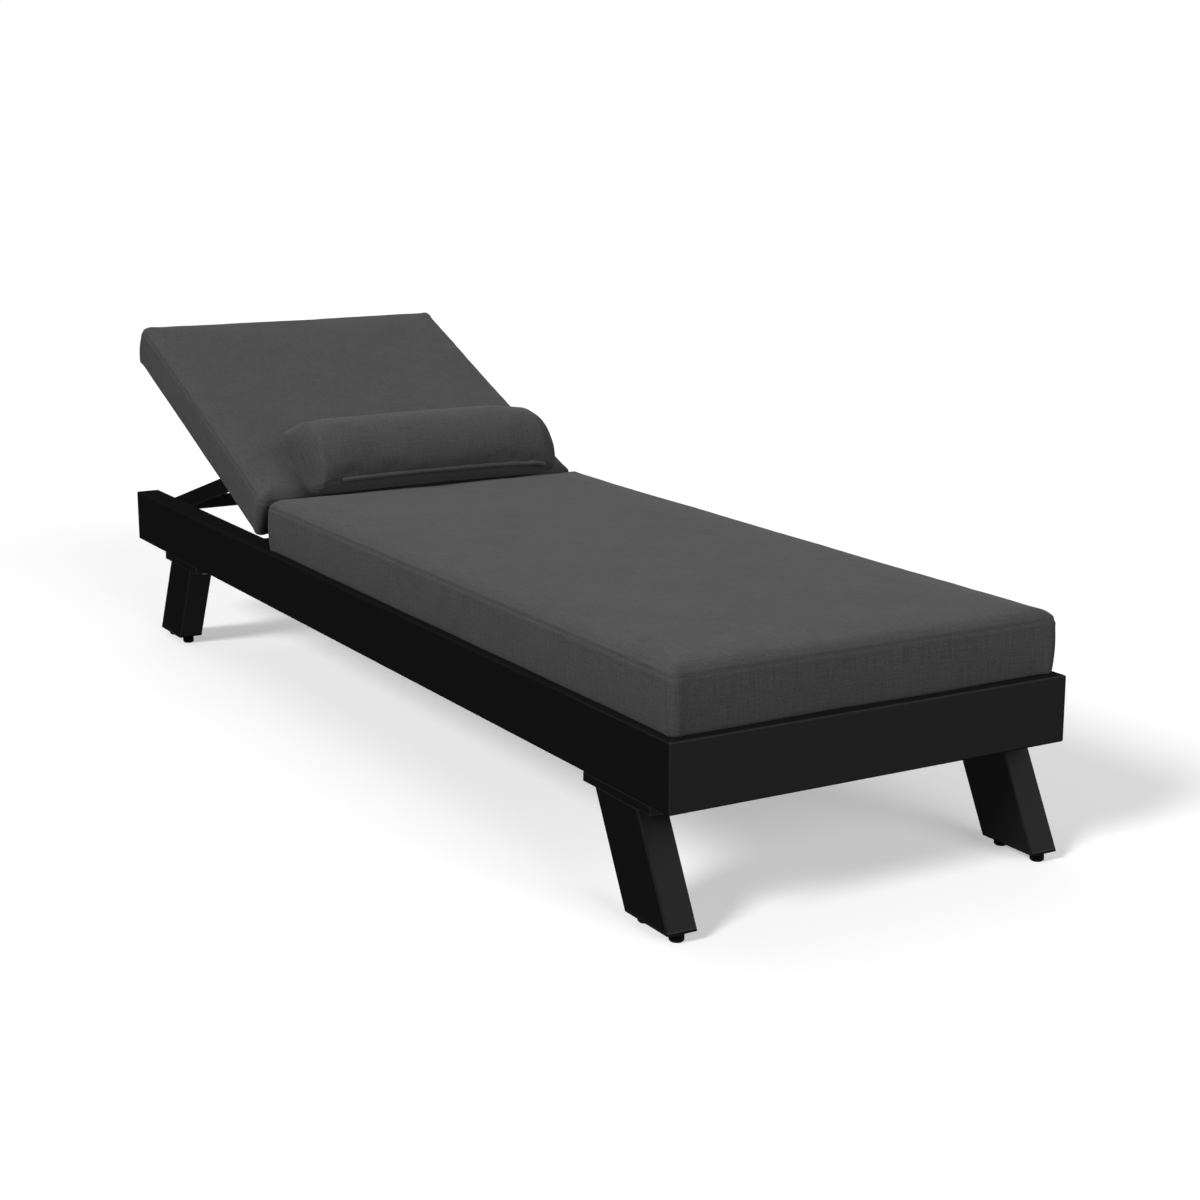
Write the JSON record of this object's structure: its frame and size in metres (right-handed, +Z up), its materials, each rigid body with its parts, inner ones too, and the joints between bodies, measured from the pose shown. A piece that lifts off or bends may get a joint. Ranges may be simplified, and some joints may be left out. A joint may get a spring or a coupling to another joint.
{
  "type": "reclining sun lounger",
  "caption": "Low reclining sun lounger: tube frame on leaning legs, slatted deck, hinged back rest on a folding prop, seat and back cushions and a loose pillow.",
  "frame": {"origin": "on the floor, under the middle of the frame", "axes": "+Z up from the floor, +Y along the lounger from the foot end to the head end, +X across it"},
  "size_m": [0.636, 2, 0.6005],
  "materials": {
    "powder_coat": "satin",
    "dark_steel": "satin",
    "black_plastic": "matte",
    "cushion_fabric": "matte",
    "pillow_fabric": "matte"
  },
  "bodies": {
    "frame": {"foot_rail": "powder_coat", "glides_front_left": "black_plastic", "glides_front_right": "black_plastic", "glides_rear_left": "black_plastic", "glides_rear_right": "black_plastic", "hinge_bracket_left": "powder_coat", "hinge_bracket_right": "powder_coat", "hinge_pin_left": "dark_steel", "hinge_pin_right": "dark_steel", "leg_bolts": "dark_steel", "leg_caps": "black_plastic", "leg_front_left": "powder_coat", "leg_front_right": "powder_coat", "leg_plate_front_left": "powder_coat", "leg_plate_front_right": "powder_coat", "leg_plate_rear_left": "powder_coat", "leg_plate_rear_right": "powder_coat", "leg_rear_left": "powder_coat", "leg_rear_right": "powder_coat", "mid_crossbar": "powder_coat", "rack_left": "powder_coat", "rack_right": "powder_coat", "rail_caps": "black_plastic", "rail_screws": "dark_steel", "rear_crossbar": "powder_coat", "seat_cushion": "cushion_fabric", "seat_ledge_left": "powder_coat", "seat_ledge_right": "powder_coat", "seat_slat_01": "powder_coat", "seat_slat_02": "powder_coat", "seat_slat_03": "powder_coat", "seat_slat_04": "powder_coat", "seat_slat_05": "powder_coat", "seat_slat_06": "powder_coat", "seat_slat_07": "powder_coat", "seat_slat_08": "powder_coat", "seat_slat_09": "powder_coat", "seat_slat_10": "powder_coat", "seat_slat_11": "powder_coat", "side_rail_left": "powder_coat", "side_rail_right": "powder_coat"},
    "back": {"back_side_tube_left": "powder_coat", "back_side_tube_right": "powder_coat", "back_foot_tube": "powder_coat", "back_head_tube": "powder_coat", "hinge_bushes": "black_plastic", "prop_bolts": "dark_steel", "back_tube_caps": "black_plastic", "back_slat_1": "powder_coat", "back_slat_2": "powder_coat", "back_slat_3": "powder_coat", "back_slat_4": "powder_coat", "back_slat_5": "powder_coat"},
    "prop": {"prop_arm_left": "powder_coat", "prop_arm_right": "powder_coat", "prop_bar": "powder_coat", "prop_pins": "dark_steel"},
    "back_pad": {"back_cushion": "cushion_fabric", "pillow": "pillow_fabric"}
  },
  "joints": [
    {"name": "back_recline", "type": "hinge", "parent": "frame", "child": "back", "pos_m": [0, 0.346, 0.254], "axis": [1, 0, 0], "range_deg": [-22.3, 37.7]},
    {"name": "prop_swing", "type": "hinge", "parent": "back", "child": "prop", "pos_m": [0, 0.5863, 0.34931], "axis": [1, 0, 0], "range_deg": [-60.7, 36]},
    {"name": "back_pad_slide", "type": "slide", "parent": "back", "child": "back_pad", "axis": [0, 0.9252, 0.3795], "range_m": [-0.0402, 0.0678]}
  ],
  "couplings": [
    {"joint": "prop_swing", "follows": "back_recline", "ratio": -1.6063},
    {"joint": "back_pad_slide", "follows": "back_recline", "m_per_rad": 0.1028}
  ]
}
